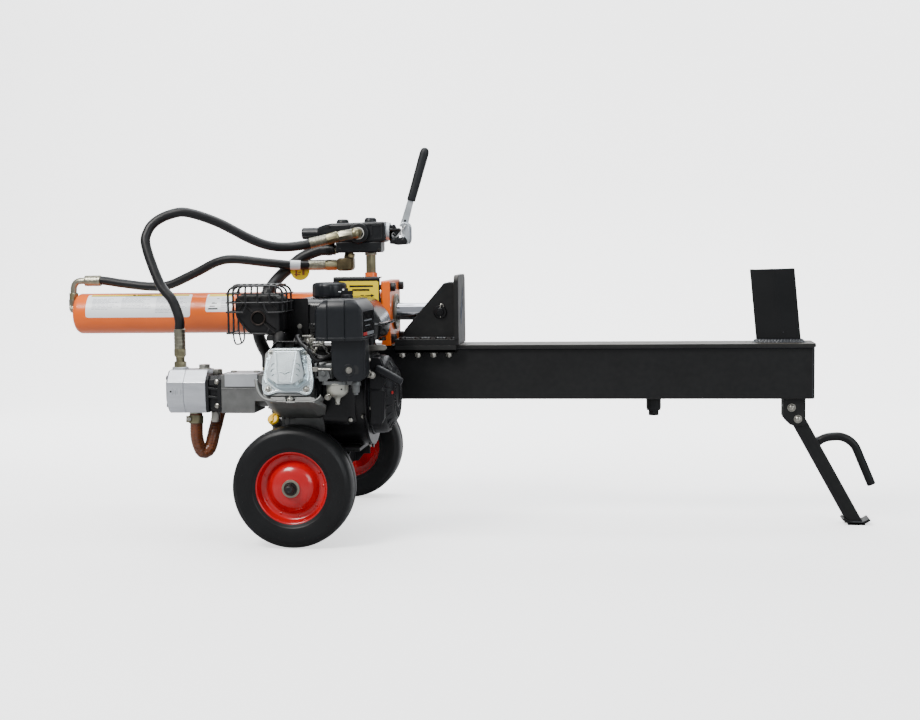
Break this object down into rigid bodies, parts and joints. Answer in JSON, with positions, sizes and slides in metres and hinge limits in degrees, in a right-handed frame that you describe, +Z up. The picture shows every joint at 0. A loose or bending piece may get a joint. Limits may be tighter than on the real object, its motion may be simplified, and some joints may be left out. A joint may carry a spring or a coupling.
{
  "type": "log splitter",
  "caption": "Two-wheeled hydraulic log splitter: box beam with fixed wedge, orange ram with push plate, side engine driving a gear pump, lever valve, hoses and fold-up support leg.",
  "frame": {"origin": "on the ground, at the middle of the footprint; the axle is at x = -0.303 m and the beam's centre plane at y = +0.027 m", "axes": "+X along the beam towards the wedge, -Y is the engine side, +Z up"},
  "size_m": [1.7995, 0.7699, 0.828],
  "materials": {
    "black_paint": "satin black enamel with weld texture",
    "orange_paint": "gloss orange enamel",
    "red_paint": "gloss red enamel",
    "zinc_plate": "zinc-plated steel, lightly tarnished",
    "yellow_zinc": "yellow passivated zinc",
    "machined_steel": "machined steel",
    "chrome_rod": "hard chrome, polished",
    "cast_grey": "die-cast, grey, slightly rough",
    "cast_iron_grey": "sand-cast, painted grey",
    "valve_black": "black painted casting",
    "bright_alloy": "extruded, brushed",
    "cover_steel": "pressed steel, bright plated",
    "tyre_black": "matt rubber, scuffed",
    "hose_black": "braid-covered rubber, satin",
    "hose_brown": "translucent brown suction hose",
    "black_plastic": "moulded, fine grain",
    "tank_black": "gloss black enamel",
    "black_shroud": "satin black",
    "muffler_black": "matt heat-resisting black",
    "carb_metal": "zinc die-cast, matt",
    "yellow_plastic": "moulded yellow",
    "grip_rubber": "soft black grip"
  },
  "bodies": {
    "frame": {"beam_tube": "black_paint", "top_rail": "black_paint", "splitting_wedge": "black_paint", "leg_bracket": "black_paint", "leg_bolts": "zinc_plate", "drain_plug": "black_paint", "axle_carrier": "black_paint", "hub_nuts": "machined_steel", "cylinder_barrel": "orange_paint", "head_block": "orange_paint", "cylinder_gland": "machined_steel", "head_bolts": "black_paint", "label_plate": "black_paint", "valve_body": "valve_black", "lever_bracket": "machined_steel", "pressure_hose": "hose_black", "cylinder_hose": "hose_black", "return_hose": "hose_black", "suction_hose": "hose_brown", "hose_fittings": "yellow_zinc", "pump_body": "bright_alloy", "pump_cover": "bright_alloy", "pump_flange": "valve_black", "bell_housing": "cast_grey", "crankcase": "cast_grey", "cylinder_head": "cast_grey", "valve_cover": "cover_steel", "blower_housing": "black_shroud", "recoil_cover": "black_shroud", "fuel_tank": "tank_black", "air_cleaner": "black_plastic", "air_cleaner_base": "black_plastic", "carburettor": "carb_metal", "muffler": "muffler_black", "muffler_guard": "muffler_black", "spark_plug": "black_plastic"},
    "ram": {"piston": "cast_iron_grey", "piston_rod": "chrome_rod", "push_plate": "black_paint", "pusher_frame": "black_paint", "slide_keepers": "black_paint", "keeper_bolts": "zinc_plate", "rod_pin": "machined_steel"},
    "leg": {"support_leg": "black_paint"},
    "near_wheel": {"near_tyre": "tyre_black", "near_rim": "red_paint"},
    "far_wheel": {"far_tyre": "tyre_black", "far_rim": "red_paint"},
    "lever": {"control_lever": "zinc_plate", "lever_grip": "grip_rubber"},
    "spool": {"valve_spool": "machined_steel"},
    "crank": {"crankshaft": "machined_steel", "coupling": "cast_grey", "drive_gear": "machined_steel"},
    "pump_idler": {"driven_gear": "machined_steel"},
    "starter": {"starter_grip": "black_plastic"},
    "filler_cap": {"fuel_cap": "black_plastic"},
    "oil_dipstick": {"dipstick": "yellow_plastic"},
    "throttle": {"throttle_lever": "zinc_plate"},
    "ignition_switch": {"engine_switch": "black_plastic"}
  },
  "joints": [
    {"name": "ram_slide", "type": "slide", "parent": "frame", "child": "ram", "axis": [1, 0, 0], "range_m": [0, 0.58]},
    {"name": "leg_fold", "type": "hinge", "parent": "frame", "child": "leg", "pos_m": [0.738, 0.027, 0.23], "axis": [0, -1, 0], "range_deg": [0, 60]},
    {"name": "near_wheel_spin", "type": "hinge", "parent": "frame", "child": "near_wheel", "pos_m": [-0.303, -0.283, 0.125], "axis": [0, 1, 0], "continuous": true},
    {"name": "far_wheel_spin", "type": "hinge", "parent": "frame", "child": "far_wheel", "pos_m": [-0.303, 0.337, 0.125], "axis": [0, 1, 0], "continuous": true},
    {"name": "lever_tilt", "type": "hinge", "parent": "frame", "child": "lever", "pos_m": [-0.117, 0.027, 0.626], "axis": [0, 1, 0], "range_deg": [-15, 15]},
    {"name": "spool_slide", "type": "slide", "parent": "frame", "child": "spool", "axis": [1, 0, 0], "range_m": [-0.0045, 0.0045]},
    {"name": "crank_spin", "type": "hinge", "parent": "frame", "child": "crank", "pos_m": [-0.303, -0.173, 0.304], "axis": [1, 0, 0], "continuous": true},
    {"name": "idler_spin", "type": "hinge", "parent": "frame", "child": "pump_idler", "pos_m": [-0.543, -0.173, 0.33], "axis": [1, 0, 0], "continuous": true},
    {"name": "starter_pull", "type": "slide", "parent": "frame", "child": "starter", "axis": [0, -1, 0], "range_m": [0, 0.11]},
    {"name": "fuel_cap_turn", "type": "hinge", "parent": "frame", "child": "filler_cap", "pos_m": [-0.249, -0.143, 0.52], "axis": [0, 0, 1], "range_deg": [0, 90]},
    {"name": "dipstick_turn", "type": "hinge", "parent": "frame", "child": "oil_dipstick", "pos_m": [-0.3522, -0.248, 0.2567], "axis": [-0.1382, -0.8237, 0.55], "range_deg": [0, 180]},
    {"name": "throttle_tilt", "type": "hinge", "parent": "frame", "child": "throttle", "pos_m": [-0.157, -0.2645, 0.406], "axis": [0, 1, 0], "range_deg": [-15, 20]},
    {"name": "switch_turn", "type": "hinge", "parent": "frame", "child": "ignition_switch", "pos_m": [-0.201, -0.209, 0.515], "axis": [0, 0, 1], "range_deg": [0, 45]}
  ],
  "couplings": [
    {"joint": "spool_slide", "follows": "lever_tilt", "m_per_rad": 0.016},
    {"joint": "idler_spin", "follows": "crank_spin", "ratio": -1}
  ]
}
